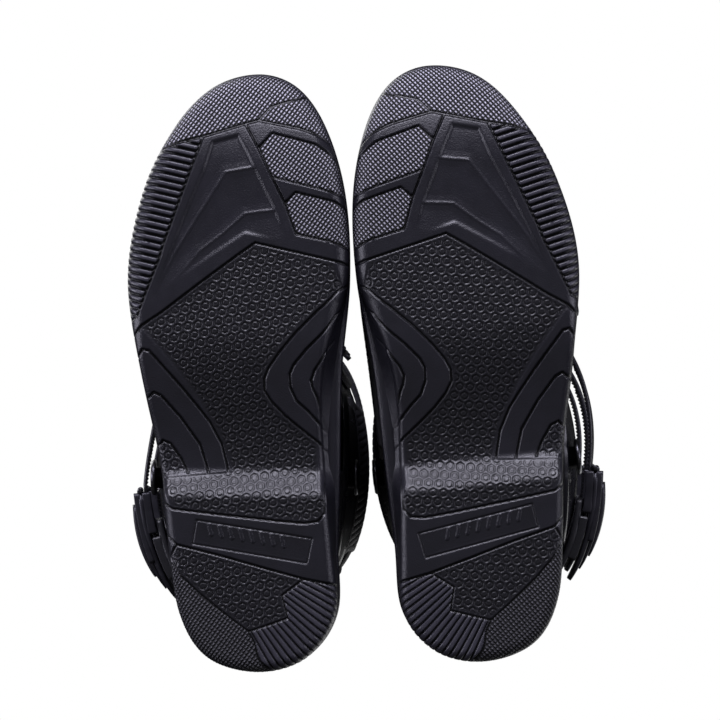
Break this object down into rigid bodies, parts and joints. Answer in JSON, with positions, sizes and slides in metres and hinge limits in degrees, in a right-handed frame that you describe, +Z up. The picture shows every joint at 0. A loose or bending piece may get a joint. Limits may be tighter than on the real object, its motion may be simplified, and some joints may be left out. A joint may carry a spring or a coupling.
{
  "type": "riding boots",
  "caption": "Pair of tall motocross riding boots with lugged soles, hinged ankles, hard outer plates and four lever buckles on each outer side.",
  "frame": {"origin": "on the ground under the middle of the pair", "axes": "+Z up, +Y to the toes, +X to the wearer's right"},
  "size_m": [0.2742, 0.3126, 0.3716],
  "materials": {
    "sole_rubber": "moulded lugs, satin",
    "shell_plastic": "satin with a fine leather grain",
    "panel_plastic": "gloss moulded",
    "grained_rubber": "grained matt",
    "lining": "brushed mesh",
    "footbed_foam": "foam with a textile top",
    "board_fibre": "pressed fibre board",
    "spring_steel": "brushed",
    "strap_plastic": "moulded ladder teeth",
    "buckle_base": "satin moulded",
    "buckle_lever": "black anodised",
    "bolt_steel": "blackened"
  },
  "bodies": {
    "L_foot": {"L_outsole": "sole_rubber", "L_shank": "spring_steel", "L_insole_board": "board_fibre", "L_footbed": "footbed_foam", "L_foot_shell": "shell_plastic", "L_toe_cap": "panel_plastic", "L_heel_counter": "panel_plastic", "L_ankle_bellows": "grained_rubber", "L_pivot_lateral": "bolt_steel", "L_pivot_medial": "bolt_steel", "L_receiver_1": "buckle_base", "L_shift_pad": "grained_rubber"},
    "L_leg": {"L_cuff": "shell_plastic", "L_cuff_liner": "lining", "L_collar": "grained_rubber", "L_ankle_yoke": "panel_plastic", "L_shin_plate": "panel_plastic", "L_calf_plate": "panel_plastic", "L_burn_guard": "grained_rubber", "L_receiver_2": "buckle_base", "L_receiver_3": "buckle_base", "L_receiver_4": "buckle_base"},
    "L_strap_body_1": {"L_strap_1": "strap_plastic"},
    "L_lever_body_1": {"L_lever_1": "buckle_lever"},
    "L_strap_body_2": {"L_strap_2": "strap_plastic"},
    "L_lever_body_2": {"L_lever_2": "buckle_lever"},
    "L_strap_body_3": {"L_strap_3": "strap_plastic"},
    "L_lever_body_3": {"L_lever_3": "buckle_lever"},
    "L_strap_body_4": {"L_strap_4": "strap_plastic"},
    "L_lever_body_4": {"L_lever_4": "buckle_lever"},
    "R_foot": {"R_outsole": "sole_rubber", "R_shank": "spring_steel", "R_insole_board": "board_fibre", "R_footbed": "footbed_foam", "R_foot_shell": "shell_plastic", "R_toe_cap": "panel_plastic", "R_heel_counter": "panel_plastic", "R_ankle_bellows": "grained_rubber", "R_pivot_lateral": "bolt_steel", "R_pivot_medial": "bolt_steel", "R_receiver_1": "buckle_base"},
    "R_leg": {"R_cuff": "shell_plastic", "R_cuff_liner": "lining", "R_collar": "grained_rubber", "R_ankle_yoke": "panel_plastic", "R_shin_plate": "panel_plastic", "R_calf_plate": "panel_plastic", "R_burn_guard": "grained_rubber", "R_receiver_2": "buckle_base", "R_receiver_3": "buckle_base", "R_receiver_4": "buckle_base"},
    "R_strap_body_1": {"R_strap_1": "strap_plastic"},
    "R_lever_body_1": {"R_lever_1": "buckle_lever"},
    "R_strap_body_2": {"R_strap_2": "strap_plastic"},
    "R_lever_body_2": {"R_lever_2": "buckle_lever"},
    "R_strap_body_3": {"R_strap_3": "strap_plastic"},
    "R_lever_body_3": {"R_lever_3": "buckle_lever"},
    "R_strap_body_4": {"R_strap_4": "strap_plastic"},
    "R_lever_body_4": {"R_lever_4": "buckle_lever"}
  },
  "joints": [
    {"name": "L_ankle_flex", "type": "hinge", "parent": "L_foot", "child": "L_leg", "pos_m": [-0.05476, -0.05833, 0.097], "axis": [-0.9988, 0.0488, 0], "range_deg": [-8, 15], "stiffness_Nm_per_rad": 8, "deforming": ["L_ankle_bellows"]},
    {"name": "L_strap_1_swing", "type": "hinge", "parent": "L_foot", "child": "L_strap_body_1", "pos_m": [-0.00665, 0.06505, 0.07726], "axis": [-0.081, 0.4422, -0.8933], "range_deg": [0, 60]},
    {"name": "L_lever_1_open", "type": "hinge", "parent": "L_strap_body_1", "child": "L_lever_body_1", "pos_m": [-0.0864, 0.08512, 0.08506], "axis": [0.1229, 0.8977, -0.4232], "range_deg": [0, 85]},
    {"name": "L_strap_2_swing", "type": "hinge", "parent": "L_leg", "child": "L_strap_body_2", "pos_m": [-0.01249, 0.019, 0.14389], "axis": [-0.0211, 0.0849, -0.9962], "range_deg": [0, 60]},
    {"name": "L_lever_2_open", "type": "hinge", "parent": "L_strap_body_2", "child": "L_lever_body_2", "pos_m": [-0.12899, -0.06349, 0.13638], "axis": [0.0963, 0.0429, -0.9944], "range_deg": [0, 85]},
    {"name": "L_strap_3_swing", "type": "hinge", "parent": "L_leg", "child": "L_strap_body_3", "pos_m": [-0.01105, 0.00861, 0.2116], "axis": [0.0004, 0.1043, -0.9945], "range_deg": [0, 60]},
    {"name": "L_lever_3_open", "type": "hinge", "parent": "L_strap_body_3", "child": "L_lever_body_3", "pos_m": [-0.13027, -0.06572, 0.20338], "axis": [0.002, 0.0659, -0.9978], "range_deg": [0, 85]},
    {"name": "L_strap_4_swing", "type": "hinge", "parent": "L_leg", "child": "L_strap_body_4", "pos_m": [-0.01063, 0.00478, 0.29086], "axis": [0.0089, 0.0812, -0.9967], "range_deg": [0, 60]},
    {"name": "L_lever_4_open", "type": "hinge", "parent": "L_strap_body_4", "child": "L_lever_body_4", "pos_m": [-0.12987, -0.06918, 0.28424], "axis": [-0.0057, 0.0268, -0.9996], "range_deg": [0, 85]},
    {"name": "right_boot_set_apart", "type": "slide", "parent": "L_foot", "child": "R_foot", "axis": [1, 0, 0], "range_m": [0, 0.15]},
    {"name": "R_ankle_flex", "type": "hinge", "parent": "R_foot", "child": "R_leg", "pos_m": [0.05476, -0.05833, 0.097], "axis": [-0.9988, -0.0488, 0], "range_deg": [-8, 15], "stiffness_Nm_per_rad": 8, "deforming": ["R_ankle_bellows"]},
    {"name": "R_strap_1_swing", "type": "hinge", "parent": "R_foot", "child": "R_strap_body_1", "pos_m": [0.00665, 0.06505, 0.07726], "axis": [-0.081, -0.4422, 0.8933], "range_deg": [0, 60]},
    {"name": "R_lever_1_open", "type": "hinge", "parent": "R_strap_body_1", "child": "R_lever_body_1", "pos_m": [0.0864, 0.08512, 0.08506], "axis": [0.1229, -0.8977, 0.4232], "range_deg": [0, 85]},
    {"name": "R_strap_2_swing", "type": "hinge", "parent": "R_leg", "child": "R_strap_body_2", "pos_m": [0.01249, 0.019, 0.14389], "axis": [-0.0211, -0.0849, 0.9962], "range_deg": [0, 60]},
    {"name": "R_lever_2_open", "type": "hinge", "parent": "R_strap_body_2", "child": "R_lever_body_2", "pos_m": [0.12899, -0.06349, 0.13638], "axis": [0.0963, -0.0429, 0.9944], "range_deg": [0, 85]},
    {"name": "R_strap_3_swing", "type": "hinge", "parent": "R_leg", "child": "R_strap_body_3", "pos_m": [0.01105, 0.00861, 0.2116], "axis": [0.0004, -0.1043, 0.9945], "range_deg": [0, 60]},
    {"name": "R_lever_3_open", "type": "hinge", "parent": "R_strap_body_3", "child": "R_lever_body_3", "pos_m": [0.13027, -0.06572, 0.20338], "axis": [0.002, -0.0659, 0.9978], "range_deg": [0, 85]},
    {"name": "R_strap_4_swing", "type": "hinge", "parent": "R_leg", "child": "R_strap_body_4", "pos_m": [0.01063, 0.00478, 0.29086], "axis": [0.0089, -0.0812, 0.9967], "range_deg": [0, 60]},
    {"name": "R_lever_4_open", "type": "hinge", "parent": "R_strap_body_4", "child": "R_lever_body_4", "pos_m": [0.12987, -0.06918, 0.28424], "axis": [-0.0057, -0.0268, 0.9996], "range_deg": [0, 85]}
  ]
}
